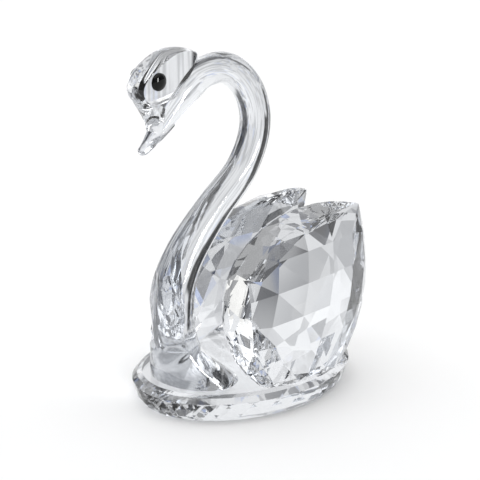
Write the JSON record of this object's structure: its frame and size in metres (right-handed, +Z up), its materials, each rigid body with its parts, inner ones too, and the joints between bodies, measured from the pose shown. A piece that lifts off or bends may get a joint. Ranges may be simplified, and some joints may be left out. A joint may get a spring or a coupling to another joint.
{
  "type": "glass swan figurine",
  "caption": "Clear cut-glass swan with an S-shaped neck, faceted pear-shaped wings and black bead eyes, standing on an oval faceted base.",
  "frame": {"origin": "centre of the oval base's flat underside", "axes": "+Z up, -Y the way the swan looks, +X to the swan's left wing; the base stands on z = 0"},
  "size_m": [0.0442, 0.0646, 0.0848],
  "materials": {
    "clear_glass": "polished clear cut glass",
    "black_glass": "polished black glass"
  },
  "bodies": {
    "root": {"base": "clear_glass", "neck_and_head": "clear_glass", "left_wing": "clear_glass", "right_wing": "clear_glass", "left_eye": "black_glass", "right_eye": "black_glass"}
  },
  "joints": []
}
